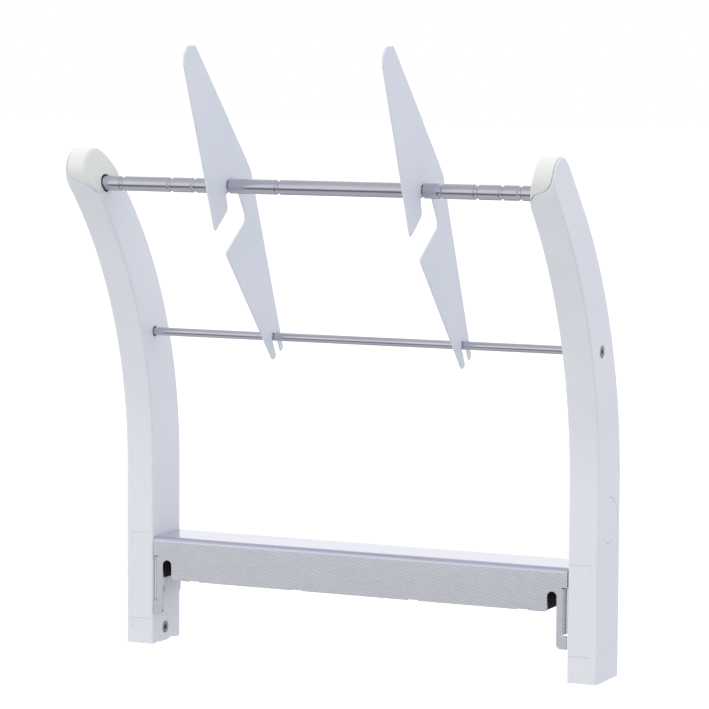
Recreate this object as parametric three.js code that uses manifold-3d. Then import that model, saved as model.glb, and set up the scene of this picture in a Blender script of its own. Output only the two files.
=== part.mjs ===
// Wall-hung drying rack: two curved hollow arms, a folded steel cross channel that hangs on two
// studs, a grooved top rod, a plain lower rod and two lift-off divider plates.
// Millimetres, +Z up, X along the rods, -Y towards the room. The pieces are drawn with y = 0 on
// the arms' front faces and z = 0 at their feet; the last group moves the origin to the middle of
// the channel's wall lip, on the wall plane.
import * as THREE from 'three';
import { mergeVertices } from 'three/addons/utils/BufferGeometryUtils.js';
import Module from 'manifold-3d';

const wasm = await Module();
wasm.setup();

// ---------------------------------------------------------------- driving dimensions
const gap = 0.3;                  // clearance between pieces that meet
const insideWidth = 440;          // between the arms' inner faces
const armWidth = 30;              // one arm, along X
const armDepth = 57;              // one arm, front to back
const armStraight = 181;          // upright stretch before the bend
const armBendRadius = 394;        // front and back edges bend forward on this radius
const armWall = 3;
const armEdge = 2.5;              // rounding of the long edges

const noseAngle = 44.2;           // degrees of bend where the front corner of the tip starts
const noseReach = 24;             // from there to the corner's control point
const napeAngle = 43;             // degrees of bend where the back turns straight
const napeStraight = 48;          // from there to where the back corner of the tip starts
const napeReach = 18;             // from there to the corner's control point
const tipFront = { along: 35.6, across: 4 };      // top edge of the tip, from the rod axis
const tipBack = { along: 34, across: 11 };
const facetAngle = 15.2;          // the inner face leans outwards above the top rod

const capLean = 32.4;             // degrees from level of the cap's parting, front to back
const capDrop = -1;               // the parting's height at the arm's inner face
const capRim = 2.2;               // outer wall that stands up beside the cap

const topRodDiameter = 14;
const topRodAngle = 42.65;        // the top rod's place: degrees along the bend
const topRodInset = 18.2;         // and its distance behind the arm's front face
const topRodHoleClearance = 1.5;  // radial, where the rod enters the arm
const grooveDepth = 1.2;
const grooveFlank = 1;            // width of each sloping side of a groove
const emptyGrooves = [-201.9, -149.5, -124.5, -36.7, 128.5, 164, 188.6, 206.6];

const lowerRodDiameter = 8;
const lowerRodY = 4.5;
const lowerRodZ = 311.5;
const lowerRodHoleClearance = 1;
const lowerRodSeat = 10;

const dividerThickness = 2;
const leftDividerX = -89.3;
const rightDividerX = 109.8;

const sheet = 2;                  // channel sheet thickness
const channelTop = 108;
const channelFrontHeight = 42.5;
const channelDepth = 60.4;        // front face to wall plane
const channelBend = 5;            // outer bend radius
const lipHeight = 20;             // wall lip, turned down behind the top face
const legWidth = 11;
const legDrop = 34.5;             // leg below the channel's lower edge
const legCorner = 5;
const slotWidth = 9.4;            // open slot for an M8 stud
const slotHeight = 19.5;          // lower edge to the crown of the slot
const flangeDepth = 17;           // side flange, turned back along the arm
const flangeHeight = 43.2;
const flangeBottom = 45;
const flangeBend = 3.5;
const reliefCut = 0.8;
const tabWidth = 10;
const tabDepth = 1;
const tabPlaces = [-174.5, -62, 62, 174.5];

const cheekThickness = 1.8;
const cheekFront = 3;
const cheekBack = 54.3;
const cheekBottom = 45.8;
const cheekCorner = 5;

const blockWall = 5;              // stud block material on each side of the slot
const blockSlotClearance = 0.5;
const blockRecess = 1.3;          // the block ends above the channel's lower edge

const coreBottom = 3;
const coreHeight = 115;

const coverDiameter = 43;
const coverRim = 3;               // width of the step that the cover sits on
const coverThickness = 1.5;
const coverY = 29;
const coverZ = 151.5;

const boreClearance = 0.3;        // radial, round every screw shank
const m6 = { shank: 3, head: 6, rise: 2.8, hex: 2.3, hexDepth: 2 };
const m5 = { shank: 2.5, head: 4.6, rise: 2.4, crown: 0.8, hex: 1.75, hexDepth: 1.6 };
const footScrewY = 26;
const footScrewZ = 13.5;
const footScrewLength = 18;
const flangeScrewY = 8.3;
const flangeScrewZ = 54.5;
const flangeScrewLength = 20;
const rodScrewWeb = 4.7;          // ferrule metal between the rod's end and its screw

const socketRadius = 11;
const socketFloor = 5.1;          // socket metal behind the rod's end
const ferruleRadius = 8;

const pocketDepth = 0.5;          // shallow recesses on the arms' front faces
const pocketMargin = 6.5;         // from the recesses to the arm's outer face
const pockets = [[13.5, 12], [99.8, 12]];         // lower edge and height
const footNotches = [[8, 6, 1.2], [33, 14, 1.5]]; // place, width and depth along the foot

const roundSides = 28;
const arcSteps = 8;
const cutMargin = 5;              // how far a cutting tool runs past what it cuts

// ---------------------------------------------------------------- derived places
const inner = insideWidth / 2;
const outer = inner + armWidth;
const radians = THREE.MathUtils.degToRad;
const topRodSeat = armWidth - 3 * (armWall + gap) - socketFloor;
const rodScrewLength = armWidth - armWall - gap - lowerRodSeat - rodScrewWeb;
const topRodReach = armBendRadius + topRodInset;
const topRodY = topRodReach * Math.cos(radians(topRodAngle)) - armBendRadius;
const topRodZ = topRodReach * Math.sin(radians(topRodAngle)) + armStraight;
const channelBottom = channelTop - channelFrontHeight;
const lipMiddle = channelTop - lipHeight / 2;
const cheekInner = inner - gap - cheekThickness;
const flangeOuter = cheekInner - gap;
const legInner = inner - legWidth;
const slotX = legInner - slotWidth / 2;
const slotCentreZ = channelBottom + slotHeight - slotWidth / 2;
const flangeTop = flangeBottom + flangeHeight;

// ---------------------------------------------------------------- geometry helpers
function toSolid(geometry) {
  const bare = geometry.clone();
  bare.deleteAttribute('normal');
  bare.deleteAttribute('uv');
  const merged = mergeVertices(bare, 1e-4);
  return new wasm.Manifold(new wasm.Mesh({
    numProp: 3,
    vertProperties: new Float32Array(merged.attributes.position.array),
    triVerts: new Uint32Array(merged.index.array),
  }));
}

function toGeometry(solid) {
  const mesh = solid.getMesh();
  const geometry = new THREE.BufferGeometry();
  geometry.setAttribute('position', new THREE.BufferAttribute(mesh.vertProperties, 3));
  geometry.setIndex(new THREE.BufferAttribute(mesh.triVerts, 1));
  return geometry;
}

const joined = (...parts) => parts.map(toSolid).reduce((sum, part) => sum.add(part));
const cutBy = (solid, ...tools) => tools.reduce((rest, tool) => rest.subtract(toSolid(tool)), solid);

// A closed outline through corners [x, y, radius], each rounded by its radius.
function roundedOutline(corners) {
  const shape = new THREE.Shape();
  corners.forEach(([x, y, radius = 0], i) => {
    const here = new THREE.Vector2(x, y);
    const before = new THREE.Vector2(...corners.at(i - 1)).sub(here);
    const after = new THREE.Vector2(...corners[(i + 1) % corners.length]).sub(here);
    const half = Math.abs(before.angleTo(after)) / 2;
    const reach = Math.min(radius / Math.tan(half), before.length() / 2, after.length() / 2);
    const from = before.setLength(reach).add(here);
    const to = after.setLength(reach).add(here);
    if (i === 0) shape.moveTo(from.x, from.y);
    else shape.lineTo(from.x, from.y);
    if (radius > 0) shape.quadraticCurveTo(x, y, to.x, to.y);
  });
  shape.closePath();
  return shape;
}

// The outline's points with near-coincident ones left out, so that every edge has a length.
function cleanOutline(shape) {
  const points = shape.getPoints(arcSteps);
  return new THREE.Shape(points.filter((point, i) => point.distanceTo(points.at(i - 1)) > 1e-3));
}

function extruded(shape, length, edge = 0) {
  return new THREE.ExtrudeGeometry(cleanOutline(shape), {
    depth: length - 2 * edge,
    bevelEnabled: edge > 0,
    bevelThickness: edge,
    bevelSize: edge,
    bevelOffset: -edge,
    bevelSegments: 2,
  }).translate(0, 0, edge);
}

// An outline drawn in (y, z), extruded from x = from to x = to.
function alongX(shape, from, to, edge = 0) {
  const turn = new THREE.Matrix4().makeBasis(
    new THREE.Vector3(0, 1, 0), new THREE.Vector3(0, 0, 1), new THREE.Vector3(1, 0, 0));
  return extruded(shape, to - from, edge).applyMatrix4(turn).translate(from, 0, 0);
}

// An outline drawn in (x, z), extruded from y = from to y = to.
function alongY(shape, from, to) {
  return extruded(shape, to - from).rotateX(Math.PI / 2).translate(0, to, 0);
}

function box(x0, x1, y0, y1, z0, z1) {
  return new THREE.BoxGeometry(x1 - x0, y1 - y0, z1 - z0)
    .translate((x0 + x1) / 2, (y0 + y1) / 2, (z0 + z1) / 2);
}

// A solid of revolution about a line along X, from stations [x, radius]; its ends are closed.
function turned(stations, y, z, sides = roundSides) {
  const first = stations[0][0];
  const last = stations.at(-1)[0];
  const profile = [[first, 0], ...stations, [last, 0]].map(([x, radius]) => new THREE.Vector2(radius, x));
  return new THREE.LatheGeometry(profile, sides).rotateZ(-Math.PI / 2).translate(0, y, z);
}

// An outline drawn in (x, height above the top rod), extruded through the arm's tip. Lean is the
// angle from level at which it runs front to back.
function throughTip(shape, lean) {
  const tilt = radians(lean);
  const turn = new THREE.Matrix4().makeBasis(
    new THREE.Vector3(1, 0, 0),
    new THREE.Vector3(0, -Math.sin(tilt), Math.cos(tilt)),
    new THREE.Vector3(0, -Math.cos(tilt), -Math.sin(tilt)));
  const length = 3 * armDepth;
  return extruded(shape, length).translate(0, 0, -length / 2).applyMatrix4(turn)
    .translate(0, topRodY, topRodZ);
}

function mirrored(geometry) {
  const copy = (geometry.index ? geometry.clone() : mergeVertices(geometry)).scale(-1, 1, 1);
  const index = copy.index.array;
  for (let i = 0; i < index.length; i += 3) [index[i], index[i + 1]] = [index[i + 1], index[i]];
  return copy;
}

// ---------------------------------------------------------------- materials
const finish = (color, roughness, metalness) =>
  new THREE.MeshStandardMaterial({ color, roughness, metalness });
const materials = {
  shell: finish(0xe4e8ee, 0.45, 0),
  cap: finish(0xe6e8e0, 0.4, 0),
  divider: finish(0xdfe4ec, 0.5, 0),
  steel: finish(0xb8bac2, 0.3, 1),
  brushed: finish(0xc2c4cb, 0.42, 1),
  rubber: finish(0x16161c, 0.75, 0),
  screw: finish(0x9a9ba0, 0.35, 1),
  core: finish(0xa9abb0, 0.55, 1),
  socket: finish(0x3a3b40, 0.6, 0),
};

// ---------------------------------------------------------------- arms
// The arm's side outline in (y, z), moved inwards by inset, down to the height foot.
function armOutline(inset, foot) {
  const shape = new THREE.Shape();
  const bendPoint = (centreY, radius, degrees) => new THREE.Vector2(
    centreY + radius * Math.cos(radians(degrees)), armStraight + radius * Math.sin(radians(degrees)));
  const along = (degrees, reach) =>
    new THREE.Vector2(-Math.sin(radians(degrees)), Math.cos(radians(degrees))).multiplyScalar(reach);
  const tip = ({ along: rise, across }, shift) => new THREE.Vector2(topRodY, topRodZ)
    .add(along(topRodAngle, rise - inset)).add(along(topRodAngle - 90, across + shift));
  const frontRadius = armBendRadius + inset;
  const backRadius = armBendRadius - inset;
  const backCentre = armDepth - armBendRadius;
  const nose = bendPoint(-armBendRadius, frontRadius, noseAngle).add(along(noseAngle, noseReach - inset));
  const nape = bendPoint(backCentre, backRadius, napeAngle).add(along(napeAngle, napeStraight));
  const napeControl = nape.clone().add(along(napeAngle, napeReach - inset));
  const front = tip(tipFront, 0);
  const back = tip(tipBack, -inset / 2);
  shape.moveTo(inset, foot);
  shape.lineTo(inset, armStraight);
  shape.absarc(-armBendRadius, armStraight, frontRadius, 0, radians(noseAngle), false);
  shape.quadraticCurveTo(nose.x, nose.y, front.x, front.y);
  shape.lineTo(back.x, back.y);
  shape.quadraticCurveTo(napeControl.x, napeControl.y, nape.x, nape.y);
  shape.absarc(backCentre, armStraight, backRadius, radians(napeAngle), 0, true);
  shape.lineTo(armDepth - inset, foot);
  shape.closePath();
  return shape;
}

// What the leaning facet takes off the inner side above the top rod, wall deeper for the hollow.
function facetWedge(wall) {
  const reach = armDepth;
  const face = inner + wall;
  const shape = new THREE.Shape();
  shape.moveTo(face, 0);
  shape.lineTo(face + reach * Math.tan(radians(facetAngle)), reach);
  shape.lineTo(inner - cutMargin, reach);
  shape.lineTo(inner - cutMargin, 0);
  shape.closePath();
  return throughTip(shape, topRodAngle);
}

// The region above the S-shaped parting line; clearance moves it in and down for the shell's cut.
function capRegion(clearance) {
  const rim = armWidth - capRim;
  const rise = (height) => capDrop + height;
  const shape = new THREE.Shape();
  shape.moveTo(-cutMargin, rise(-10));
  shape.lineTo(-1, rise(-5));
  shape.bezierCurveTo(2, rise(4), 5, rise(12.5), 12, rise(15));
  shape.bezierCurveTo(19, rise(17.5), rim - 0.3, rise(20), rim, rise(35));
  shape.lineTo(rim, rise(armDepth));
  shape.lineTo(-cutMargin, rise(armDepth));
  shape.closePath();
  return throughTip(shape, capLean).translate(inner + clearance, 0, -clearance);
}

function armBody() {
  const body = toSolid(alongX(armOutline(0, -cutMargin), inner, outer, armEdge));
  return cutBy(body,
    facetWedge(0),
    box(inner - cutMargin, outer + cutMargin, -cutMargin, armDepth + cutMargin, -2 * cutMargin, 0));
}

function armHollow() {
  const hollow = alongX(armOutline(armWall, -cutMargin), inner + armWall, outer - armWall);
  return cutBy(toSolid(hollow), facetWedge(armWall));
}

function lowerRodOpening() {
  const radius = lowerRodDiameter / 2 + lowerRodHoleClearance;
  return turned([[inner - gap, radius], [inner + armWall + gap, radius]], lowerRodY, lowerRodZ);
}

function topRodOpening() {
  const radius = topRodDiameter / 2 + topRodHoleClearance;
  return turned([[inner - cutMargin, radius], [inner + 2 * armWall, radius]], topRodY, topRodZ);
}

function screwHole(size, face, inward, depth, y, z) {
  const sunk = [[face - inward * boreClearance, size.head + 2 * boreClearance],
    [face + inward * size.rise, size.shank + boreClearance],
    [face + inward * depth, size.shank + boreClearance]];
  return turned(inward > 0 ? sunk : sunk.reverse(), y, z);
}

function coverOpening() {
  const radius = coverDiameter / 2 + gap;
  const step = outer - coverThickness - gap;
  const profile = [[outer - armWall - gap, radius - coverRim], [step, radius - coverRim],
    [step, radius], [outer + gap, radius]];
  return turned(profile, coverY, coverZ, 2 * roundSides);
}

const shellCuts = () => [
  topRodOpening(),
  lowerRodOpening(),
  screwHole(m6, outer, -1, armWall + gap, lowerRodY, lowerRodZ),
  screwHole(m6, inner, 1, armWall + gap, footScrewY, footScrewZ),
  plainHole(m5, inner - gap, inner + armWall + gap, flangeScrewY, flangeScrewZ),
  coverOpening(),
  ...pockets.map(([low, height]) =>
    box(inner - gap, outer - pocketMargin, -cutMargin, pocketDepth, low, low + height)),
  ...footNotches.map(([start, width, depth]) =>
    box(inner - gap, inner + armWall + gap, start, start + width, -gap, depth)),
];

function plainHole(size, from, to, y, z) {
  const radius = size.shank + boreClearance;
  return turned([[from, radius], [to, radius]], y, z);
}

function armShell() {
  const walls = armBody().subtract(armHollow());
  return toGeometry(cutBy(walls, capRegion(gap), ...shellCuts()));
}

function armCap() {
  const tip = armBody().subtract(armHollow()).intersect(toSolid(capRegion(0)));
  return toGeometry(cutBy(tip, topRodOpening()));
}

function armCore() {
  const clear = armWall + gap;
  const block = toSolid(box(inner + clear, outer - clear, clear, armDepth - clear,
    coreBottom, coreBottom + coreHeight));
  const from = inner + clear - gap;
  return toGeometry(cutBy(block,
    plainHole(m6, from, inner + footScrewLength + 2 * gap, footScrewY, footScrewZ),
    plainHole(m5, from, flangeOuter - sheet + flangeScrewLength + 2 * gap, flangeScrewY, flangeScrewZ)));
}

function armCover() {
  const top = outer - gap / 2;
  const step = outer - coverThickness;
  const bottom = outer - armWall;
  const lower = coverDiameter / 2 - coverRim;
  return turned([[bottom, lower], [step, lower], [step, coverDiameter / 2], [top, coverDiameter / 2]],
    coverY, coverZ, 2 * roundSides);
}

// ---------------------------------------------------------------- rods, sockets and screws
function topRodSocket() {
  const face = inner + 2 * armWall + gap;
  const bore = topRodDiameter / 2 + gap;
  const floor = inner + 2 * armWall + topRodSeat + 2 * gap;
  return turned([[floor, 0], [floor, bore], [face, bore], [face, socketRadius],
    [outer - armWall - gap, socketRadius]], topRodY, topRodZ);
}

function lowerRodFerrule() {
  const face = inner + armWall + gap;
  const back = outer - armWall - gap;
  const bore = lowerRodDiameter / 2 + gap;
  const thread = m6.shank + boreClearance;
  const rodFloor = face + lowerRodSeat + gap;
  const screwFloor = outer - rodScrewLength - 2 * gap;
  return turned([[rodFloor, 0], [rodFloor, bore], [face, bore], [face, ferruleRadius],
    [back, ferruleRadius], [back, thread], [screwFloor, thread]], lowerRodY, lowerRodZ);
}

// Full depth in the middle of a groove at each place, with sloping sides.
function groovedRod() {
  const full = topRodDiameter / 2;
  const low = full - grooveDepth;
  const flat = dividerThickness / 2 + gap;
  const end = inner + 2 * armWall + topRodSeat;
  const places = [...emptyGrooves, leftDividerX, rightDividerX].sort((a, b) => a - b);
  const grooves = places.flatMap((x) => [[x - flat - grooveFlank, full], [x - flat, low],
    [x + flat, low], [x + flat + grooveFlank, full]]);
  return turned([[-end, full - gap], [-end + gap, full], ...grooves, [end - gap, full],
    [end, full - gap]], topRodY, topRodZ);
}

function plainRod() {
  const full = lowerRodDiameter / 2;
  const end = inner + armWall + gap + lowerRodSeat;
  return turned([[-end, full - gap], [-end + gap, full], [end - gap, full], [end, full - gap]],
    lowerRodY, lowerRodZ);
}

function hexSocket(size, face, inward, y, z) {
  const from = inward > 0 ? face - gap : face - size.hexDepth;
  return turned([[from, size.hex], [from + size.hexDepth + gap, size.hex]], y, z, 6);
}

// A countersunk screw whose head lies just below face and points inward (+1 or -1 along X).
function sunkScrew(size, face, inward, length, y, z) {
  const top = face + inward * gap / 2;
  const stations = [[top, size.head], [top + inward * size.rise, size.shank],
    [face + inward * length, size.shank]];
  const body = turned(inward > 0 ? stations : stations.reverse(), y, z);
  return toGeometry(cutBy(toSolid(body), hexSocket(size, top, inward, y, z)));
}

function panScrew(size, face, length, y, z) {
  const top = face - gap - size.rise;
  const body = turned([[top, size.head - size.crown], [top + size.crown, size.head],
    [face - gap, size.head], [face - gap, size.shank], [face + length, size.shank]], y, z);
  return toGeometry(cutBy(toSolid(body), hexSocket(size, top, 1, y, z)));
}

// ---------------------------------------------------------------- channel
// Cross-section in (y, z): front face, top face and the lip that lies on the wall.
function channelSection() {
  const shape = new THREE.Shape();
  const bend = channelBend;
  const inside = channelBend - sheet;
  const right = Math.PI / 2;
  shape.moveTo(sheet, channelBottom);
  shape.lineTo(sheet, channelTop - bend);
  shape.absarc(bend, channelTop - bend, inside, Math.PI, right, true);
  shape.absarc(channelDepth - bend, channelTop - bend, inside, right, 0, true);
  shape.lineTo(channelDepth - sheet, channelTop - lipHeight);
  shape.lineTo(channelDepth, channelTop - lipHeight);
  shape.absarc(channelDepth - bend, channelTop - bend, bend, 0, right, false);
  shape.absarc(bend, channelTop - bend, bend, right, Math.PI, false);
  shape.lineTo(0, channelBottom);
  shape.closePath();
  return shape;
}

function leg() {
  const end = inner - gap;
  const low = channelBottom - legDrop;
  return alongY(roundedOutline([[legInner, channelBottom + sheet], [legInner, low, legCorner],
    [end, low], [end, channelBottom + sheet]]), 0, sheet);
}

function flange() {
  const inside = flangeBend - sheet;
  const centreX = flangeOuter - flangeBend;
  const shape = new THREE.Shape();
  shape.moveTo(centreX - gap, 0);
  shape.lineTo(centreX, 0);
  shape.absarc(centreX, -flangeBend, flangeBend, Math.PI / 2, 0, true);
  shape.lineTo(flangeOuter, -flangeDepth);
  shape.lineTo(flangeOuter - sheet, -flangeDepth);
  shape.absarc(centreX, -flangeBend, inside, 0, Math.PI / 2, false);
  shape.lineTo(centreX - gap, -sheet);
  shape.closePath();
  return extruded(shape, flangeHeight).rotateX(Math.PI).translate(0, 0, flangeTop);
}

function studSlot() {
  const shape = new THREE.Shape();
  const radius = slotWidth / 2;
  shape.moveTo(slotX + radius, channelBottom - cutMargin);
  shape.lineTo(slotX + radius, slotCentreZ);
  shape.absarc(slotX, slotCentreZ, radius, 0, Math.PI, false);
  shape.lineTo(slotX - radius, channelBottom - cutMargin);
  shape.closePath();
  return alongY(shape, -gap, sheet + gap);
}

function channel() {
  const end = inner - gap;
  const bendStart = flangeOuter - flangeBend;
  const bothSides = (geometry) => [geometry, mirrored(geometry)];
  const profile = alongX(channelSection(), -end, end);
  const frontCut = (x0, x1, z0, z1) => box(x0, x1, -gap, sheet + gap, z0, z1);
  const front = cutBy(joined(profile, ...bothSides(leg())),
    ...bothSides(studSlot()),
    ...bothSides(frontCut(bendStart, end + gap, flangeBottom - reliefCut, flangeTop + reliefCut)),
    ...tabPlaces.map((x) => frontCut(x - tabWidth / 2, x + tabWidth / 2,
      channelBottom - gap, channelBottom + tabDepth)));
  const folded = front.add(joined(...bothSides(flange())));
  return toGeometry(cutBy(folded, ...bothSides(plainHole(m5, flangeOuter - sheet - gap,
    flangeOuter + gap, flangeScrewY, flangeScrewZ))));
}

// White plate between the channel's end and the arm's inner face.
function cheek() {
  const top = channelTop - sheet - gap;
  const outline = roundedOutline([[cheekFront, cheekBottom], [cheekBack, cheekBottom, cheekCorner],
    [cheekBack, top, cheekCorner], [cheekFront, top, cheekCorner]]);
  const plate = toSolid(alongX(outline, cheekInner, cheekInner + cheekThickness));
  return toGeometry(cutBy(plate,
    plainHole(m5, cheekInner - gap, inner, flangeScrewY, flangeScrewZ)));
}

// Spacer inside the channel, with a slot that takes the wall stud.
function studBlock() {
  const half = slotWidth / 2 + blockSlotClearance;
  const low = channelBottom + blockRecess;
  const top = channelTop - lipHeight - gap;
  const left = slotX - half - blockWall;
  const right = Math.min(slotX + half + blockWall, flangeOuter - sheet - gap);
  const shape = new THREE.Shape();
  shape.moveTo(left, low);
  shape.lineTo(slotX - half, low);
  shape.absarc(slotX, slotCentreZ, half, Math.PI, 0, true);
  shape.lineTo(slotX + half, low);
  shape.lineTo(right, low);
  shape.lineTo(right, top);
  shape.lineTo(left, top);
  shape.closePath();
  return alongY(shape, sheet + gap, channelDepth - gap);
}

// ---------------------------------------------------------------- dividers
// Outline in (y, z) from the two rods' axes: a hook over the top rod and a fork on the lower rod.
function dividerOutline() {
  const seat = topRodDiameter / 2 - grooveDepth + gap;
  const topAxis = ([y, z, radius]) => [topRodY + y, topRodZ + z, radius];
  const lowAxis = ([y, z, radius]) => [lowerRodY + y, lowerRodZ + z, radius];
  const forkRoof = lowerRodDiameter / 2 + gap;
  const hook = [[-89.5, 113.6, 8], [-88.6, 122.6, 6], [-83.2, 130.2, 7], [-68.6, 131.1, 6],
    [35.5, 23.4, 12], [44.3, 13.2, 12]];
  const fork = [[18.7, -11.5, 2.5], [14.2, -16, 2], [6.6, 0, 0], [6.6, forkRoof, 2],
    [-6, forkRoof, 2], [-5.6, -1, 0], [4.2, -20, 2.5], [-3, -22.5, 3]];
  const throat = [[-6.4, -62.6, 4], [36.2, -32.6, 9], [11.5, seat, 5], [-seat, seat, 5],
    [-seat - 0.3, -11, 4], [-2.4, -21.8, 7], [-28, -41.8, 2.5]];
  return roundedOutline([...hook.map(topAxis), ...fork.map(lowAxis), ...throat.map(topAxis)]);
}

function divider(x) {
  return alongX(dividerOutline(), x - dividerThickness / 2, x + dividerThickness / 2);
}

// ---------------------------------------------------------------- assembly
const rack = new THREE.Group();
rack.name = 'drying_rack';

function place(name, geometry, material) {
  const mesh = new THREE.Mesh(geometry, material);
  mesh.name = name;
  rack.add(mesh);
}

function placePair(name, geometry, material) {
  place(`right_${name}`, geometry, material);
  place(`left_${name}`, mirrored(geometry), material);
}

placePair('arm_shell', armShell(), materials.shell);
placePair('arm_cap', armCap(), materials.cap);
placePair('arm_core', armCore(), materials.core);
placePair('round_cover', armCover(), materials.shell);
placePair('top_rod_socket', topRodSocket(), materials.socket);
placePair('lower_rod_ferrule', lowerRodFerrule(), materials.socket);
placePair('lower_rod_screw',
  sunkScrew(m6, outer, -1, rodScrewLength, lowerRodY, lowerRodZ), materials.screw);
placePair('foot_screw',
  sunkScrew(m6, inner, 1, footScrewLength, footScrewY, footScrewZ), materials.screw);
placePair('flange_screw',
  panScrew(m5, flangeOuter - sheet, flangeScrewLength, flangeScrewY, flangeScrewZ), materials.screw);
placePair('cheek_plate', cheek(), materials.shell);
placePair('stud_block', studBlock(), materials.rubber);
place('top_rod', groovedRod(), materials.steel);
place('lower_rod', plainRod(), materials.steel);
place('channel', channel(), materials.brushed);
place('left_divider', divider(leftDividerX), materials.divider);
place('right_divider', divider(rightDividerX), materials.divider);

rack.position.set(0, -channelDepth, -lipMiddle);

export default rack;
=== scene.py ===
"""Looks of a wall-hung drying rack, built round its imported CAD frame.

Shapes are drawn in millimetres with y = 0 on the arms' front faces and z = 0 at their feet, and
moved into the row frame, in metres, when their mesh is made. X runs along the rods.
"""

import math

import bmesh
import bpy
import numpy as np
from mathutils import Matrix, Vector


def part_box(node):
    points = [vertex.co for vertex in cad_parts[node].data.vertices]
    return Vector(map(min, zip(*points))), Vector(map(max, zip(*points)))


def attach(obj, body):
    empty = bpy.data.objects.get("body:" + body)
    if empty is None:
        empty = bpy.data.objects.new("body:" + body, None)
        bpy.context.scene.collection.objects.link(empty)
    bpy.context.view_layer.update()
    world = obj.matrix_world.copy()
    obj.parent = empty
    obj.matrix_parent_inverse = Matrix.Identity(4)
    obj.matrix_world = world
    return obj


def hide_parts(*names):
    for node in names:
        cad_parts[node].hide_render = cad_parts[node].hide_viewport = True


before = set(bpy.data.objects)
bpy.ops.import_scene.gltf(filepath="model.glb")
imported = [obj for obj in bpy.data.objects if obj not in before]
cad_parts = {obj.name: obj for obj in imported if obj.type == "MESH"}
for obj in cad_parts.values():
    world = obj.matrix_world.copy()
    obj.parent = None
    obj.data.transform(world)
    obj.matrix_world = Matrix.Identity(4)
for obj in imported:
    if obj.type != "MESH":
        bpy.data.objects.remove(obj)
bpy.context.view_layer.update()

MM = 0.001
HOME = Vector((0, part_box("channel")[0].y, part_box("right_arm_shell")[0].z))


def drawn(node):
    """(lowest, highest) corner of a CAD node in the drawing's millimetres."""
    return [(corner - HOME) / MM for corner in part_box(node)]


def middle(node):
    """Its centre's y and z, and half its height."""
    low, high = drawn(node)
    return (low.y + high.y) / 2, (low.z + high.z) / 2, (high.z - low.z) / 2


# ---------------------------------------------------------------- sizes
INNER = drawn("right_arm_shell")[0].x  # the arms' inner faces are at +-INNER
OUTER = drawn("right_arm_shell")[1].x
ARM_DEPTH = 57
STRAIGHT = 181
BEND = 394
WALL = 3
EDGE = 2.4
NOSE_ANGLE, NOSE_REACH = 44.2, 24
NAPE_ANGLE, NAPE_STRAIGHT, NAPE_REACH = 43, 48, 18
TIP_FRONT, TIP_BACK = (35.6, 4), (34, 11)
ROD_ANGLE = 42.65
FACET = math.tan(math.radians(15.2))
CAP_LEAN = 32.4
CAP_RIM = OUTER - INNER - 2.2
SEAM = 0.3
POCKET_HEIGHTS = (13.5, 99.8)  # lower edges of the shallow recesses in the front face
POCKET_WIDTH, POCKET_HEIGHT, POCKET_DEPTH, POCKET_CORNER = 23.5, 12, 0.5, 2.5
FOOT_NOTCHES = ((8, 6, 1.2), (33, 14, 1.5))  # place, width and depth along the foot

ROD_Y, ROD_Z, ROD_R = middle("top_rod")
LOW_Y, LOW_Z, LOW_R = middle("lower_rod")
COVER_Y, COVER_Z, COVER_R = middle("right_round_cover")
FOOT_Y, FOOT_Z, SCREW_R = middle("right_foot_screw")
SHANK_HOLE = 3.35  # radius of the holes for the countersunk screws
ROD_SCREW_LENGTH, FOOT_SCREW_LENGTH = 12, 18
HEXAGON, HEXAGON_DEPTH = 2.3, 1.9  # half the socket's width across flats, and its depth

CHANNEL_TOP = drawn("channel")[1].z
CHANNEL_BOTTOM = CHANNEL_TOP - 42.5
CHANNEL_DEPTH = drawn("channel")[1].y
CHANNEL_END = drawn("channel")[1].x
LEG_FOOT = drawn("channel")[0].z
SHEET = 2
BEND_R = 5
LIP = 20
LEG_INNER = INNER - 11
SLOT_R = 4.7
SLOT_X = LEG_INNER - SLOT_R
SLOT_Z = CHANNEL_BOTTOM + 19.5 - SLOT_R
FLANGE_X = drawn("right_cheek_plate")[0].x - 0.3
FLANGE_BEND = 3.5
RELIEF = 0.8  # cut above and below each flange
FLANGE_LOW, FLANGE_HIGH, FLANGE_DEPTH = 45, 88.2, 17
BOLT_Y, BOLT_Z, BOLT_R = middle("right_flange_screw")
BOLT_HOLE = 2.8  # radius of its holes
TABS = (-174.5, -62, 62, 174.5)
TAB_HALF = 4.6
PLATE_X = [sum(corner.x for corner in drawn(node)) / 2
           for node in ("left_divider", "right_divider")]
GROOVES = sorted([-201.9, -149.5, -124.5, -36.7, 128.5, 164, 188.6, 206.6, *PLATE_X])
GROOVE_DEPTH = 1.2


# ---------------------------------------------------------------- curves
def arc(cx, cy, r, start, end, n):
    """Points from start to end degrees, both included."""
    turn = [math.radians(start + (end - start) * i / n) for i in range(n + 1)]
    return [(cx + r * math.cos(a), cy + r * math.sin(a)) for a in turn]


def bezier(points, n):
    """A quadratic or cubic curve through control points, its first point left out."""
    order = len(points) - 1
    found = []
    for i in range(1, n + 1):
        t = i / n
        terms = [math.comb(order, k) * (1 - t) ** (order - k) * t**k for k in range(order + 1)]
        found.append(tuple(sum(w * p[d] for w, p in zip(terms, points)) for d in (0, 1)))
    return found


def rounded(corners, n=6):
    """A closed outline through corners (x, y, radius)."""
    found = []
    for i, (x, y, radius) in enumerate(corners):
        here = Vector((x, y))
        before = Vector(corners[i - 1][:2]) - here
        after = Vector(corners[(i + 1) % len(corners)][:2]) - here
        if radius == 0:
            found.append((x, y))
            continue
        half = before.angle(after) / 2
        reach = min(radius / math.tan(half), before.length / 2, after.length / 2)
        start, end = here + before.normalized() * reach, here + after.normalized() * reach
        found += [tuple(start), *bezier([tuple(start), (x, y), tuple(end)], n)]
    return [p for i, p in enumerate(found) if math.dist(p, found[i - 1]) > 0.02]


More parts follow.
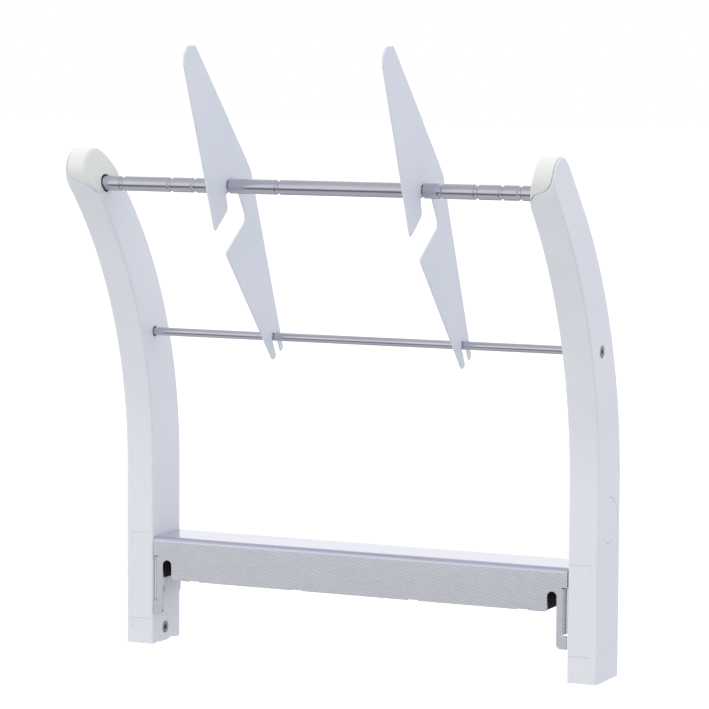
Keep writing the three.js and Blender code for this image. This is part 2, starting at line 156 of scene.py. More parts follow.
def inset_closed(points, amount):
    """A closed counter-clockwise outline moved inwards along its normals."""
    p = np.array(points)
    along = np.roll(p, -1, 0) - p
    along /= np.linalg.norm(along, axis=1)[:, None]
    normal = np.stack([-along[:, 1], along[:, 0]], 1)
    both = normal + np.roll(normal, 1, 0)
    both /= np.linalg.norm(both, axis=1)[:, None]
    stretch = 1 / np.clip((both * normal).sum(1), 0.4, 1)
    return p + both * (amount * stretch)[:, None]


def counter_clockwise(points):
    p = np.array(points)
    area = (p[:, 0] * np.roll(p[:, 1], -1) - p[:, 1] * np.roll(p[:, 0], -1)).sum()
    return list(map(tuple, p if area > 0 else p[::-1]))


# ---------------------------------------------------------------- meshes
def rings_to_mesh(rings):
    """A tube through rings of points, with equal counts; each end is closed with a face."""
    bm = bmesh.new()
    rows = [[bm.verts.new(p) for p in ring] for ring in rings]
    for a, b in zip(rows, rows[1:]):
        for i in range(len(a)):
            j = (i + 1) % len(a)
            bm.faces.new((a[i], a[j], b[j], b[i]))
    bm.faces.new(rows[0][::-1])
    bm.faces.new(rows[-1])
    bmesh.ops.recalc_face_normals(bm, faces=bm.faces)
    return bm


def side_on(p, at):
    return (at, p[0], p[1])


def front_on(p, at):
    return (p[0], at, p[1])


def from_above(p, at):
    return (p[0], p[1], at)


def plate(outline, low, high, edge, steps=3):
    """A side-on outline made solid from low to high, its edges rounded by edge."""
    outline = counter_clockwise(outline)
    rows = []
    for k in range(steps + 1):
        turn = math.pi / 2 * k / steps
        ring = inset_closed(outline, edge * (1 - math.sin(turn)))
        rows.append((ring, low + edge * (1 - math.cos(turn))))
    rows += [(ring, high + low - at) for ring, at in reversed(rows)]
    return rings_to_mesh([[side_on(p, at) for p in ring] for ring, at in rows])


def prism(outline, low, high, put=side_on):
    """An outline made solid from low to high. put((a, b), c) gives a point in the drawing."""
    outline = counter_clockwise(outline)
    return rings_to_mesh([[put(p, at) for p in outline] for at in (low, high)])


def block(x0, x1, y0, y1, z0, z1):
    return prism([(y0, z0), (y1, z0), (y1, z1), (y0, z1)], x0, x1)


def turned(stations, y, z, sides=64):
    """A solid of revolution about a line along X, from stations (x, radius)."""
    turns = [2 * math.pi * i / sides for i in range(sides)]
    return rings_to_mesh(
        [[(x, y + r * math.cos(a), z + r * math.sin(a)) for a in turns] for x, r in stations])


def bored(low, high, y, z, radius, sides=32):
    """What a plain hole along X takes away."""
    return turned([(low, radius), (high, radius)], y, z, sides)


def mirrored(bm):
    copy = bm.copy()
    bmesh.ops.scale(copy, vec=(-1, 1, 1), verts=copy.verts)
    bmesh.ops.reverse_faces(copy, faces=copy.faces)
    return copy


def both_sides(bm):
    return [bm, mirrored(bm)]


def temporary(bm):
    mesh = bpy.data.meshes.new("work")
    bm.to_mesh(mesh)
    thing = bpy.data.objects.new("work", mesh)
    bpy.context.scene.collection.objects.link(thing)
    return thing


def carve(bm, tools, how="DIFFERENCE"):
    """bm after each tool is cut away, or joined, or kept in common."""
    body = temporary(bm)
    workers = [temporary(tool) for tool in tools]
    for worker in workers:
        step = body.modifiers.new("cut", "BOOLEAN")
        step.operation, step.solver, step.object = how, "EXACT", worker
    bpy.context.view_layer.update()
    shown = body.evaluated_get(bpy.context.evaluated_depsgraph_get())
    result = bmesh.new()
    result.from_mesh(shown.to_mesh())
    shown.to_mesh_clear()
    for thing in (body, *workers):
        mesh = thing.data
        bpy.data.objects.remove(thing)
        bpy.data.meshes.remove(mesh)
    bmesh.ops.remove_doubles(result, verts=result.verts, dist=0.02)
    return result


def piece(name, bm, look, slot, body, nodes, edge=0.0, others=()):
    """A finished visible piece that stands for CAD nodes, its sharp edges rounded by edge. Others
    are further materials, each with a test for the faces that have it."""
    bmesh.ops.transform(bm, matrix=Matrix.Translation(HOME) @ Matrix.Scale(MM, 4), verts=bm.verts)
    bm.normal_update()
    for face in bm.faces:
        face.smooth = True
        for number, (_, wanted) in enumerate(others, 1):
            if wanted(face):
                face.material_index = number
    mesh = bpy.data.meshes.new(name)
    bm.to_mesh(mesh)
    bm.free()
    thing = bpy.data.objects.new(name, mesh)
    bpy.context.scene.collection.objects.link(thing)
    for finish in (look, *(other for other, _ in others)):
        mesh.materials.append(finish)
    if edge:
        soft = thing.modifiers.new("edges", "BEVEL")
        soft.width, soft.segments, soft.limit_method = edge * MM, 2, "ANGLE"
        soft.angle_limit = math.radians(38)
        soft.use_clamp_overlap = False
        soft.miter_outer = "MITER_SHARP"
    flat = thing.modifiers.new("normals", "WEIGHTED_NORMAL")
    flat.keep_sharp = True
    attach(thing, body)
    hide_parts(*nodes)
    return thing


def pair(name, bm, look, slot, **kind):
    """A right-hand piece of the frame and its mirrored copy."""
    left = mirrored(bm)
    piece(f"right_{name}_skin", bm, look, slot, "frame", [f"right_{name}"], **kind)
    piece(f"left_{name}_skin", left, look, slot, "frame", [f"left_{name}"], **kind)


# ---------------------------------------------------------------- materials
class Look:
    """A procedural material: colour, roughness and bump are driven by patterns in the object's
    own coordinates, and constants sit on the shader."""

    def __init__(self, name, metallic=0.0, **sockets):
        self.material = bpy.data.materials.new(name)
        self.material.use_nodes = True
        self.tree = self.material.node_tree
        self.shader = self.tree.nodes["Principled BSDF"]
        self.shader.inputs["Metallic"].default_value = metallic
        for socket, value in sockets.items():
            title = socket.replace("_", " ").title().replace("Ior", "IOR")
            self.shader.inputs[title].default_value = value
        self.place = self.tree.nodes.new("ShaderNodeTexCoord").outputs["Object"]
        self.normal = None

    def node(self, kind, **values):
        made = self.tree.nodes.new(kind)
        for key, value in values.items():
            if key in made.inputs:
                made.inputs[key].default_value = value
            else:
                setattr(made, key, value)
        return made

    def link(self, a, b):
        self.tree.links.new(a, b)

    def stretched(self, scale, turn=(0, 0, 0)):
        mapping = self.node("ShaderNodeMapping")
        mapping.inputs["Scale"].default_value = scale
        mapping.inputs["Rotation"].default_value = [math.radians(a) for a in turn]
        self.link(self.place, mapping.inputs["Vector"])
        return mapping.outputs["Vector"]

    def noise(self, scale, detail=3.0, stretch=(1, 1, 1), roughness=0.5):
        made = self.node("ShaderNodeTexNoise", Scale=scale, Detail=detail, Roughness=roughness)
        self.link(self.stretched(stretch), made.inputs["Vector"])
        return made.outputs["Fac"]

    def weave(self, pitch, turn):
        """Fine parallel lines, pitch apart, in the X-Z plane."""
        made = self.node("ShaderNodeTexWave", Scale=math.pi / 10 / pitch, Distortion=0.4,
                         Detail=1.0)
        made.inputs["Detail Scale"].default_value = 2.0
        self.link(self.stretched((1, 1, 1), (0, turn, 0)), made.inputs["Vector"])
        return made.outputs["Fac"]

    def ranged(self, value, low, high, start=0.3, end=0.7):
        made = self.node("ShaderNodeMapRange")
        ends = {"From Min": start, "From Max": end, "To Min": low, "To Max": high}
        for socket, number in ends.items():
            made.inputs[socket].default_value = number
        self.link(value, made.inputs["Value"])
        return made.outputs["Result"]

    def colour(self, value, first, second, start=0.35, end=0.65):
        ramp = self.node("ShaderNodeValToRGB")
        for element, at, tone in zip(ramp.color_ramp.elements, (start, end), (first, second)):
            element.position, element.color = at, (*tone, 1)
        self.link(value, ramp.inputs["Fac"])
        self.link(ramp.outputs["Color"], self.shader.inputs["Base Color"])

    def roughness(self, value, low, high):
        self.link(self.ranged(value, low, high), self.shader.inputs["Roughness"])

    def bump(self, value, height, strength=1.0):
        """Height is in metres."""
        made = self.node("ShaderNodeBump", Strength=strength, Distance=height)
        self.link(value, made.inputs["Height"])
        if self.normal:
            self.link(self.normal, made.inputs["Normal"])
        self.normal = made.outputs["Normal"]
        self.link(self.normal, self.shader.inputs["Normal"])

    def multiplied(self, a, b):
        made = self.node("ShaderNodeMath", operation="MULTIPLY")
        self.link(a, made.inputs[0])
        self.link(b, made.inputs[1])
        return made.outputs["Value"]


def moulded(name, first, second, low, high):
    """Satin moulded plastic: fine spark texture, faint flow tone and uneven gloss."""
    look = Look(name, specular_ior_level=0.45, coat_weight=0.12, coat_roughness=0.28)
    look.colour(look.noise(9, 4), first, second)
    look.roughness(look.noise(120, 4), low, high)
    look.bump(look.noise(2600, 2), 0.00002)
    look.bump(look.noise(60, 2), 0.00005, 0.5)
    return look.material


def powder_coat(name, first, second):
    """Painted sheet: fine orange peel."""
    look = Look(name, specular_ior_level=0.4)
    look.colour(look.noise(14, 3), first, second)
    look.roughness(look.noise(300, 3), 0.42, 0.56)
    look.bump(look.noise(1900, 3, roughness=0.65), 0.00004)
    return look.material


def ground_steel(name, first, second, low, high):
    """Polished bar: faint rings from grinding, almost lost in long smooth tone changes."""
    look = Look(name, metallic=1.0)
    rings = look.noise(1, 3, stretch=(5200, 60, 60))
    look.colour(look.noise(1, 2, stretch=(9, 90, 90)), first, second)
    look.roughness(rings, low, high)
    look.bump(rings, 0.0000012)
    return look.material


def linen_steel(name, first, second):
    """Linen-rolled sheet: fine slanting lines, crossed by finer ones, over a brushed ground."""
    look = Look(name, metallic=1.0)
    lines = look.weave(0.0033, 70)
    look.colour(look.multiplied(lines, look.noise(30, 3)), first, second, 0.05, 0.55)
    look.roughness(look.noise(700, 3, stretch=(0.15, 1, 1)), 0.2, 0.3)
    look.bump(lines, 0.0000028)
    look.bump(look.weave(0.0013, -70), 0.000003)
    return look.material


def satin_steel(name, first, second):
    """The sheet's top, rolled smooth: long faint grain along the rods."""
    look = Look(name, metallic=1.0)
    look.colour(look.noise(1, 3, stretch=(6, 260, 260)), first, second)
    look.roughness(look.noise(1, 3, stretch=(20, 900, 900)), 0.10, 0.16)
    look.bump(look.noise(1, 2, stretch=(30, 1500, 1500)), 0.000002)
    return look.material


def rubber(name, first, second):
    """Matt black or grey, slightly pitted."""
    look = Look(name, specular_ior_level=0.35)
    look.colour(look.noise(220, 4), first, second)
    look.roughness(look.noise(500, 3), 0.6, 0.85)
    look.bump(look.noise(900, 4), 0.00012)
    return look.material


def plain_metal(name, first, second, low, high):
    """Turned or cast metal with an uneven finish."""
    look = Look(name, metallic=1.0)
    look.colour(look.noise(260, 3), first, second)
    look.roughness(look.noise(900, 3), low, high)
    look.bump(look.noise(1500, 3), 0.00001)
    return look.material


# Each has its two tones, and where it is given its lowest and highest roughness.
SHELL = moulded("shell_plastic", (0.735, 0.755, 0.795), (0.76, 0.78, 0.815), 0.36, 0.46)
CREAM = moulded("cap_plastic", (0.75, 0.765, 0.72), (0.775, 0.785, 0.745), 0.34, 0.44)
COATED = powder_coat("divider_coating", (0.69, 0.725, 0.785), (0.715, 0.745, 0.80))
STEEL = ground_steel("ground_rod", (0.51, 0.51, 0.575), (0.57, 0.57, 0.625), 0.17, 0.24)
LINEN = linen_steel("linen_sheet", (0.61, 0.62, 0.67), (0.675, 0.685, 0.74))
BLACK = rubber("black_rubber", (0.006, 0.006, 0.012), (0.022, 0.02, 0.028))
SATIN = satin_steel("satin_sheet", (0.565, 0.57, 0.675), (0.615, 0.62, 0.725))
SCREW = plain_metal("screw_steel", (0.30, 0.29, 0.28), (0.42, 0.41, 0.40), 0.28, 0.45)
CORE = plain_metal("cast_core", (0.50, 0.51, 0.53), (0.60, 0.61, 0.62), 0.45, 0.6)
# Dark plastic of the rod sockets and ferrules; the same near-black material is also used as painted
# shade inside the screws' hexagon sockets.
DARK_PLASTIC_AND_SOCKET_SHADE = rubber("socket_plastic_and_painted_shade", (0.03, 0.03, 0.034), (0.06, 0.06, 0.065))


# ---------------------------------------------------------------- arm
def arm_sides():
    """The arm's outline in (y, z), foot front to foot back over the tip, with equal counts of
    points on the front and the back. Also gives that count, and the steps over the tip."""
    uprights, bows, corners, steps = 8, 50, 16, 6

    def bend(cy, r, deg, reach=0.0):
        a = math.radians(deg)
        return (cy + r * math.cos(a) - reach * math.sin(a),
                STRAIGHT + r * math.sin(a) + reach * math.cos(a))

    def tip(along, across):
        a = math.radians(ROD_ANGLE)
        return (ROD_Y - along * math.sin(a) + across * math.cos(a),
                ROD_Z + along * math.cos(a) + across * math.sin(a))

    def side(y, angle, straight, reach, end):
        upright = [(y, STRAIGHT * i / uprights) for i in range(uprights)]
        neck = [bend(y - BEND, BEND, angle, straight * i / 12) for i in range(1, 13) if straight]
        bow = arc(y - BEND, STRAIGHT, BEND, 0, angle, bows - len(neck))
        start, control = (bow + neck)[-1], bend(y - BEND, BEND, angle, straight + reach)
        return upright + bow + neck + bezier([start, control, end], corners)

    front = side(0, NOSE_ANGLE, 0, NOSE_REACH, tip(*TIP_FRONT))
    back = side(ARM_DEPTH, NAPE_ANGLE, NAPE_STRAIGHT, NAPE_REACH, tip(*TIP_BACK))
    a, b = Vector(front[-1]), Vector(back[-1])
    across = [tuple(a.lerp(b, i / steps)) for i in range(1, steps)]
    return np.array(front + across + back[::-1]), len(front), steps


def arm_height(p):
    """Height above the top rod, along the arm."""
    a = math.radians(ROD_ANGLE)
    return -(p[0] - ROD_Y) * math.sin(a) + (p[1] - ROD_Z) * math.cos(a)


def facet_lean(p):
    """How far the inner side leans outwards at p: nothing below the rod, then evenly more."""
    h, blend = arm_height(p), 2.0
    return FACET * blend * math.log1p(math.exp(min(h / blend, 40)))


def arm_block(inset, outer_x, inner_x, edge, foot):
    """A closed body of the arm's outline moved in by inset, its long edges rounded by edge. Each
    side is filled with rungs from its front to its back."""
    outline, n, across = arm_sides()
    tangent = np.gradient(outline, axis=0)
    tangent /= np.linalg.norm(tangent, axis=1)[:, None]
    inward = np.stack([tangent[:, 1], -tangent[:, 0]], 1)
    inward[0] = inward[1] = (1, 0)
    inward[-1] = inward[-2] = (-1, 0)
    outline[0][1] = outline[-1][1] = foot

    rings = [(outline + inward * (inset + edge * (1 - math.sin(a))), edge * (1 - math.cos(a)))
             for a in (math.pi / 8 * k for k in range(5))]
    rows = [[(outer_x - deep, *p) for p in ring] for ring, deep in rings]
    rows += [[(inner_x + facet_lean(p) + deep, *p) for p in ring] for ring, deep in reversed(rings)]
    bm = bmesh.new()
    grid = [[bm.verts.new(p) for p in row] for row in rows]
    for a, b in zip(grid, grid[1:]):
        for i in range(len(a) - 1):
            bm.faces.new((a[i], a[i + 1], b[i + 1], b[i]))
    feet = [[row[0] for row in grid], [row[-1] for row in grid]]
    filled = []
    for row, x_at in ((grid[0], lambda p: outer_x), (grid[-1], lambda p: inner_x + facet_lean(p))):
        rungs = []
        for i in range(n - 1):
            a, b = row[i], row[-1 - i]
            between = []
            for j in range(1, across):
                p = a.co.lerp(b.co, j / across)
                between.append(bm.verts.new((x_at(p.yz), p.y, p.z)))
            rungs.append([a, *between, b])
        rungs.append(list(row[n - 1:n + across]))
        for a, b in zip(rungs, rungs[1:]):
            for j in range(across):
                bm.faces.new((a[j], a[j + 1], b[j + 1], b[j]))
        filled.append(rungs[0][1:-1])
    bm.faces.new([*feet[0], *filled[1], *reversed(feet[1]), *reversed(filled[0])])
    bmesh.ops.recalc_face_normals(bm, faces=bm.faces)
    return bm


def cap_region(clearance):
    """The space above the S-shaped parting line, swept from front to back of the tip. The line
    is drawn in (x from the inner face, height above the rod)."""
    line = [(-1, -6), *bezier([(-1, -6), (2, 3), (5, 11.5), (12, 14)], 22)]
    line += bezier([line[-1], (19, 16.5), (CAP_RIM - 0.3, 19), (CAP_RIM, 34)], 22)
    shape = [(-5, -11), *line, (CAP_RIM, 70), (-5, 70)]
    tilt = math.radians(CAP_LEAN)
    up, through = (-math.sin(tilt), math.cos(tilt)), (-math.cos(tilt), -math.sin(tilt))

    def put(p, at):
        return (INNER + clearance + p[0],
                ROD_Y + p[1] * up[0] + at * through[0],
                ROD_Z + p[1] * up[1] + at * through[1] - clearance)

    return prism(shape, -120, 120, put)


def sunk_hole(face, inward, y, z):
    """A countersunk hole for an M6 head, cut through the wall at face."""
    stations = [(face - inward, SCREW_R + 0.6), (face, SCREW_R + 0.45),
                (face + inward * WALL, SHANK_HOLE), (face + inward * (WALL + 1), SHANK_HOLE)]
    return turned(stations, y, z, 48)


def lipped_hole(face, radius, depth, y, z):
    """A round hole whose mouth is rounded."""
    lip = 0.6
    mouth = [(face + lip * (1 - math.cos(a)), radius + lip * (1 - math.sin(a)))
             for a in (math.pi / 8 * k for k in range(5))]
    return turned([(face - 1, radius + lip), *mouth, (face + depth, radius)], y, z)


def arm_pieces():
    solid = arm_block(0, OUTER, INNER, EDGE, 0)
    hollow = arm_block(WALL, OUTER - WALL, INNER + WALL, 0.7, -6)
    walls = carve(solid, [hollow])
    rod_hole = bored(INNER - 4, INNER + 9, ROD_Y, ROD_Z, ROD_R + 1.5, 72)
    ledge, mouth = COVER_R - 2.7, COVER_R + 0.15
    cover = turned([(OUTER - WALL - 1, ledge), (OUTER - 1.8, ledge), (OUTER - 1.8, mouth),
                    (OUTER + 1, mouth)], COVER_Y, COVER_Z, 96)
    cuts = [rod_hole, cover, lipped_hole(INNER, LOW_R + 1, WALL + 2, LOW_Y, LOW_Z),
            sunk_hole(OUTER, -1, LOW_Y, LOW_Z), sunk_hole(INNER, 1, FOOT_Y, FOOT_Z),
            bored(INNER - 1, INNER + WALL + 1, BOLT_Y, BOLT_Z, BOLT_HOLE)]
    for z in POCKET_HEIGHTS:
        start, end, top = INNER - 4, INNER + POCKET_WIDTH, z + POCKET_HEIGHT
        pocket = rounded([(start, z, 0), (end, z, POCKET_CORNER), (end, top, POCKET_CORNER),
                          (start, top, 0)])
        cuts.append(prism(pocket, -2, POCKET_DEPTH, front_on))
    for y, width, depth in FOOT_NOTCHES:
        notch = [(y - 0.8, -1), (y + 0.4, depth), (y + width - 0.4, depth), (y + width + 0.8, -1)]
        cuts.append(prism(notch, INNER - 1, INNER + WALL + 1))
    shell = carve(carve(walls, [cap_region(SEAM)]), cuts)
    cap = carve(carve(walls, [cap_region(0)], "INTERSECT"), [rod_hole])
    pair("arm_shell", shell, SHELL, "white_shell", edge=0.28)
    pair("arm_cap", cap, CREAM, "cream_cap", edge=0.28)


# ---------------------------------------------------------------- small turned pieces
def sunk_screw(face, inward, y, z, length):
    """A countersunk socket screw. Its hexagon socket, rim and cone are rings of equal counts."""

    def hexagon(scale):
        sixth = math.pi / 3
        return [scale * HEXAGON / math.cos((a + sixth / 2) % sixth - sixth / 2) for a in turns]

    def circle(radius):
        return [radius] * sides

    sides, top, head, shank = 48, 0.15, SCREW_R, 3
    turns = [2 * math.pi * i / sides for i in range(sides)]
    rings = [(top + 2.3, circle(0.05)), (top + HEXAGON_DEPTH, hexagon(0.93)),
             (top + 0.25, hexagon(1)), (top, hexagon(1.07)), (top, circle(head - 0.35)),
             (top + 0.12, circle(head - 0.08)), (top + 0.35, circle(head)),
             (2.9, circle(shank + 0.1)), (3.2, circle(shank)), (length - 0.6, circle(shank)),
             (length, circle(2.4))]
    return rings_to_mesh([[(face + inward * at, y + r * math.cos(a), z + r * math.sin(a))
                           for a, r in zip(turns, radii)] for at, radii in rings])


def cover_disc():
    r = COVER_R
    top = drawn("right_round_cover")[1].x
    stations = [(OUTER - WALL, r - 3), (OUTER - 1.5, r - 3), (OUTER - 1.5, r), (top - 0.45, r),
                (top - 0.2, r - 0.08), (top - 0.05, r - 0.25), (top, r - 0.55), (top, r - 2)]
    return turned(stations, COVER_Y, COVER_Z, 96)


def pan_head():
    low, high = drawn("right_flange_screw")
    r, seat, shank = BOLT_R, low.x + 2.4, 2.5
    stations = [(low.x, r - 1.4), (low.x + 0.25, r - 0.7), (low.x + 0.8, r - 0.15),
                (low.x + 1.2, r), (seat, r), (seat, shank), (high.x, shank)]
    return turned(stations, BOLT_Y, BOLT_Z, 40)


# ---------------------------------------------------------------- rods
def grooved_rod():
    end = drawn("top_rod")[1].x
    flat, full, low = 1.3, ROD_R, ROD_R - GROOVE_DEPTH
    stations = [(-end, full - 0.9), (-end + 0.3, full - 0.3), (-end + 0.9, full)]
    for x in GROOVES:
        half = [(flat + 1.6, full), (flat + 1.1, full), (flat + 0.95, full - 0.08),
                (flat + 0.12, low + 0.08), (flat - 0.1, low), (flat - 0.5, low)]
        stations += [(x - w, r) for w, r in half] + [(x + w, r) for w, r in reversed(half)]
    stations += [(end - 0.9, full), (end - 0.3, full - 0.3), (end, full - 0.9)]
    return turned(stations, ROD_Y, ROD_Z, 96)


def plain_rod():
    end = drawn("lower_rod")[1].x
    stations = [(-end, LOW_R - 0.8), (-end + 0.3, LOW_R - 0.2), (-end + 0.8, LOW_R),
                (end - 0.8, LOW_R), (end - 0.3, LOW_R - 0.2), (end, LOW_R - 0.8)]
    return turned(stations, LOW_Y, LOW_Z, 72)


# ---------------------------------------------------------------- dividers
def divider_outline():
    """A hook over the top rod and a fork on the lower rod, drawn from the two rods' axes."""
    seat = ROD_R - GROOVE_DEPTH + SEAM
    roof = LOW_R + SEAM
    hook = [(-89.5, 113.6, 8), (-88.6, 122.6, 6), (-83.2, 130.2, 7), (-68.6, 131.1, 6),
            (35.5, 23.4, 12), (44.3, 13.2, 12)]
    fork = [(18.7, -11.5, 2.5), (14.2, -16, 2), (6.6, 0, 0), (6.6, roof, 2),
            (-6, roof, 2), (-5.6, -1, 0), (4.2, -20, 2.5), (-3, -22.5, 3)]
    throat = [(-6.4, -62.6, 4), (36.2, -32.6, 9), (11.5, seat, 5), (-seat, seat, 5),
              (-seat - 0.3, -11, 4), (-2.4, -21.8, 7), (-28, -41.8, 2.5)]
    return rounded([(ROD_Y + y, ROD_Z + z, r) for y, z, r in hook]
                   + [(LOW_Y + y, LOW_Z + z, r) for y, z, r in fork]
                   + [(ROD_Y + y, ROD_Z + z, r) for y, z, r in throat], 8)


def dividers():
    for side in ("left", "right"):
        low, high = drawn(f"{side}_divider")
        bm = plate(divider_outline(), low.x, high.x, 0.45, 4)
        piece(f"{side}_divider_skin", bm, COATED, "white_divider", f"{side}_divider_plate",
              [f"{side}_divider"])


# ---------------------------------------------------------------- channel
def channel_section():
    inside = BEND_R - SHEET
    top, back = CHANNEL_TOP - BEND_R, CHANNEL_DEPTH - BEND_R
    return [(SHEET, CHANNEL_BOTTOM), *arc(BEND_R, top, inside, 180, 90, 8),
            *arc(back, top, inside, 90, 0, 8),
            (CHANNEL_DEPTH - SHEET, CHANNEL_TOP - LIP), (CHANNEL_DEPTH, CHANNEL_TOP - LIP),
            *arc(back, top, BEND_R, 0, 90, 12), *arc(BEND_R, top, BEND_R, 90, 180, 12),
            (0, CHANNEL_BOTTOM)]


def channel_piece():
    body = prism(channel_section(), -CHANNEL_END, CHANNEL_END)
    leg = rounded([(LEG_INNER, CHANNEL_BOTTOM + 4, 0), (LEG_INNER, LEG_FOOT, 5.5),
                   (CHANNEL_END, LEG_FOOT, 0), (CHANNEL_END, CHANNEL_BOTTOM + 4, 0)], 10)
    body = carve(body, both_sides(prism(leg, 0, SHEET, front_on)), "UNION")
    corner, below = 3, CHANNEL_BOTTOM - 3
    left = SLOT_X - SLOT_R
    slot = [(left - corner, below), *arc(left - corner, CHANNEL_BOTTOM + corner, corner, -90, 0, 6),
            *arc(SLOT_X, SLOT_Z, SLOT_R, 180, 0, 24), (LEG_INNER, below)]
    bend_start = FLANGE_X - FLANGE_BEND
    cuts = both_sides(prism(slot, -1, SHEET + 1, front_on))
    cuts += both_sides(block(bend_start, CHANNEL_END + 1, -1, SHEET + 1,
                             FLANGE_LOW - RELIEF, FLANGE_HIGH + RELIEF))
    for x in TABS:
        cuts.append(block(x - TAB_HALF, x + TAB_HALF, -1, SHEET + 1,
                          CHANNEL_BOTTOM - 1, CHANNEL_BOTTOM + 0.7))
        for end in (-TAB_HALF, TAB_HALF):
            dot = arc(x + end, CHANNEL_BOTTOM + 0.2, 0.95, 0, 337.5, 15)
            cuts.append(prism(dot, -1, SHEET + 1, front_on))
    body = carve(body, cuts)
    bend = [(bend_start - 0.3, 0), *arc(bend_start, FLANGE_BEND, FLANGE_BEND, -90, 0, 10),
            (FLANGE_X, FLANGE_DEPTH), (FLANGE_X - SHEET, FLANGE_DEPTH),
            *arc(bend_start, FLANGE_BEND, FLANGE_BEND - SHEET, 0, -90, 6),
            (bend_start - 0.3, SHEET)]
    flange = prism(bend, FLANGE_LOW, FLANGE_HIGH, from_above)
    body = carve(body, both_sides(flange), "UNION")
    body = carve(body, both_sides(bored(FLANGE_X - 4, FLANGE_X + 1, BOLT_Y, BOLT_Z, BOLT_HOLE)))
    piece("channel_skin", body, LINEN, "brushed_sheet", "frame", ["channel"], edge=0.3,
          others=[(SATIN, lambda face: face.normal.z > 0.12)])


def cheek_and_block():
    low, high = drawn("right_cheek_plate")
    outline = rounded([(low.y, low.z, 0.6), (high.y, low.z, 5), (high.y, high.z, 5),
                       (low.y, high.z, 5)], 8)
    cheek = carve(plate(outline, low.x, high.x, 0.35),
                  [bored(low.x - 1, high.x + 1, BOLT_Y, BOLT_Z, BOLT_HOLE)])
    pair("cheek_plate", cheek, SHELL, "white_shell")
    low, high = drawn("right_stud_block")
    slot = SLOT_R + 0.5
    shape = [(low.x, low.z), (SLOT_X - slot, low.z), *arc(SLOT_X, SLOT_Z, slot, 180, 0, 24),
             (SLOT_X + slot, low.z), (high.x, low.z), (high.x, high.z), (low.x, high.z)]
    pair("stud_block", prism(shape, low.y, high.y, front_on), BLACK, "black_rubber", edge=0.4)


def screw_pieces():
    for name, face, inward, y, z, length in (
            ("lower_rod_screw", OUTER, -1, LOW_Y, LOW_Z, ROD_SCREW_LENGTH),
            ("foot_screw", INNER, 1, FOOT_Y, FOOT_Z, FOOT_SCREW_LENGTH)):

        # The faces inside the hexagon socket get the near-black material: painted shade standing in
        # for the shadow in the recess, not a blackened socket.
        def painted_shade_in_socket(face_of_mesh, axis=Vector((0, y, z))):
            return ((face_of_mesh.calc_center_median() - HOME) / MM - axis).yz.length < 2.42

        pair(name, sunk_screw(face, inward, y, z, length), SCREW, "screw_steel",
             others=[(DARK_PLASTIC_AND_SOCKET_SHADE, painted_shade_in_socket)])


arm_pieces()
screw_pieces()
pair("flange_screw", pan_head(), SCREW, "screw_steel")
pair("round_cover", cover_disc(), SHELL, "white_shell")
piece("top_rod_skin", grooved_rod(), STEEL, "rod_steel", "frame", ["top_rod"])
piece("lower_rod_skin", plain_rod(), STEEL, "rod_steel", "frame", ["lower_rod"])
dividers()
channel_piece()
cheek_and_block()

for side in ("left", "right"):
    for node, look in (("arm_core", CORE), ("top_rod_socket", DARK_PLASTIC_AND_SOCKET_SHADE),
                       ("lower_rod_ferrule", DARK_PLASTIC_AND_SOCKET_SHADE)):
        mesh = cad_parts[f"{side}_{node}"].data
        mesh.materials.clear()
        mesh.materials.append(look)

# ---------------------------------------------------------------- camera
LENS = 163.5
sight = Vector((-0.4240, 0.9010, -0.0911)).normalized()
right = Vector((0.9046, 0.4263, 0.0059)).normalized()
over = right.cross(sight).normalized()
camera = bpy.data.objects.new("camera", bpy.data.cameras.new("camera"))
turn = Matrix((right, over, -sight)).transposed().to_4x4()
camera.matrix_world = Matrix.Translation((1.3035, -2.8321, 0.4806)) @ turn
camera.data.lens, camera.data.sensor_width = LENS, 36
camera.data.clip_start, camera.data.clip_end = 0.05, 200
bpy.context.scene.collection.objects.link(camera)
bpy.context.scene.camera = camera


# ---------------------------------------------------------------- floor and light
def stage_mesh(name, corners, faces, colour):
    mesh = bpy.data.meshes.new(name)
    mesh.from_pydata(corners, [], faces)
    thing = bpy.data.objects.new(name, mesh)
    bpy.context.scene.collection.objects.link(thing)
    material = bpy.data.materials.new(name)
    material.use_nodes = True
    shader = material.node_tree.nodes["Principled BSDF"]
    shader.inputs["Base Color"].default_value = (*colour, 1)
    shader.inputs["Roughness"].default_value = 0.9
    shader.inputs["Specular IOR Level"].default_value = 0.0
    mesh.materials.append(material)
    return thing


FLOOR_Z = HOME.z - 0.32
FAR = 40
floor = stage_mesh("floor", [(-FAR, -FAR, FLOOR_Z), (FAR, -FAR, FLOOR_Z), (FAR, FAR, FLOOR_Z),
                             (-FAR, FAR, FLOOR_Z)], [(0, 1, 2, 3)], (0.95, 0.955, 0.96))
floor.visible_diffuse = False
floor.visible_glossy = False

overhead = bpy.data.lights.new("overhead", "AREA")
overhead.shape, overhead.size, overhead.size_y = "RECTANGLE", 3.6, 3.0
overhead.energy = 10
lamp = bpy.data.objects.new("overhead", overhead)
lamp.location = (-0.4, -0.6, 3.2)
lamp.visible_glossy = False
bpy.context.scene.collection.objects.link(lamp)

world = bpy.data.worlds.new("studio")
bpy.context.scene.world = world
world.use_nodes = True
tree = world.node_tree
background = tree.nodes["Background"]
direction = tree.nodes.new("ShaderNodeSeparateXYZ")
outward = tree.nodes.new("ShaderNodeTexCoord").outputs["Generated"]
tree.links.new(outward, direction.inputs["Vector"])


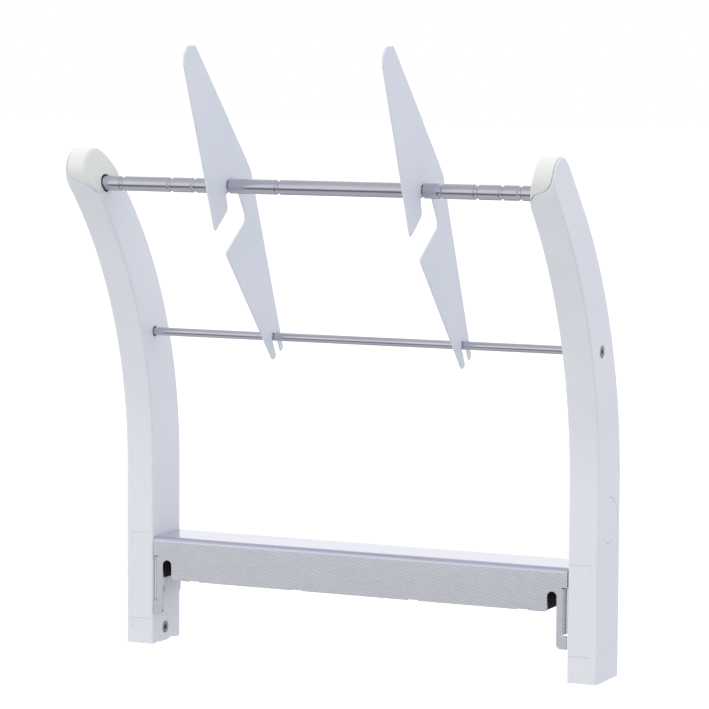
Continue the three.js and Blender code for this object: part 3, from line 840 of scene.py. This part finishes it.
def world_ramp(socket, stops):
    """Brightness against one part of the direction, from -1 to 1."""
    spread = tree.nodes.new("ShaderNodeMapRange")
    spread.inputs["From Min"].default_value = -1
    tree.links.new(direction.outputs[socket], spread.inputs["Value"])
    ramp = tree.nodes.new("ShaderNodeValToRGB")
    ramp.color_ramp.interpolation = "EASE"
    while len(ramp.color_ramp.elements) < len(stops):
        ramp.color_ramp.elements.new(0.5)
    for element, (at, tone) in zip(ramp.color_ramp.elements, stops):
        element.position, element.color = (at + 1) / 2, (*tone, 1)
    tree.links.new(spread.outputs["Result"], ramp.inputs["Fac"])
    return ramp.outputs["Color"]


def world_mix(how, a, b=None, factor=None):
    """a with b over it; without b, white. Sockets 6 and 7 are the two colours."""
    made = tree.nodes.new("ShaderNodeMix")
    made.data_type, made.blend_type = "RGBA", how
    made.inputs["Factor"].default_value = 1.0
    if factor:
        tree.links.new(factor, made.inputs["Factor"])
    tree.links.new(a, made.inputs[6])
    if b:
        tree.links.new(b, made.inputs[7])
    else:
        made.inputs[7].default_value = (1, 1, 1, 1)
    return made.outputs[2]


WHITE = (1, 1, 1)
sideways = world_ramp("X", [(-1, WHITE), (-0.2, WHITE), (1, (0.68, 0.69, 0.745))])
soft = world_ramp("Z", [(-1, (0.80, 0.80, 0.81)), (-0.25, (1.18, 1.18, 1.19)),
                        (0.05, (1.42, 1.42, 1.42)), (1, (1.42, 1.42, 1.42))])
front = world_ramp("Y", [(-1, (0.80, 0.80, 0.80)), (0.1, WHITE)])
room = world_ramp("Z", [(-1, (0.72, 0.72, 0.74)), (-0.7, (0.72, 0.72, 0.74)),
                        (-0.52, (0.20, 0.20, 0.21)), (-0.33, (0.20, 0.20, 0.21)),
                        (-0.13, (0.98, 0.98, 0.99)), (0.2, (1.12, 1.12, 1.12)),
                        (0.6, (0.88, 0.88, 0.90)), (0.87, (0.72, 0.72, 0.76)),
                        (1, (0.66, 0.66, 0.70))])
ray = tree.nodes.new("ShaderNodeLightPath")
lit = world_mix("MULTIPLY", world_mix("MULTIPLY", sideways, soft), front)
seen = world_mix("MULTIPLY", sideways, room)
around = world_mix("MIX", lit, seen, ray.outputs["Is Glossy Ray"])
shown = world_mix("MIX", around, factor=ray.outputs["Is Camera Ray"])
tree.links.new(shown, background.inputs["Color"])
background.inputs["Strength"].default_value = 1.0

scene = bpy.context.scene
scene.view_settings.view_transform = "Standard"
scene.view_settings.look = "None"
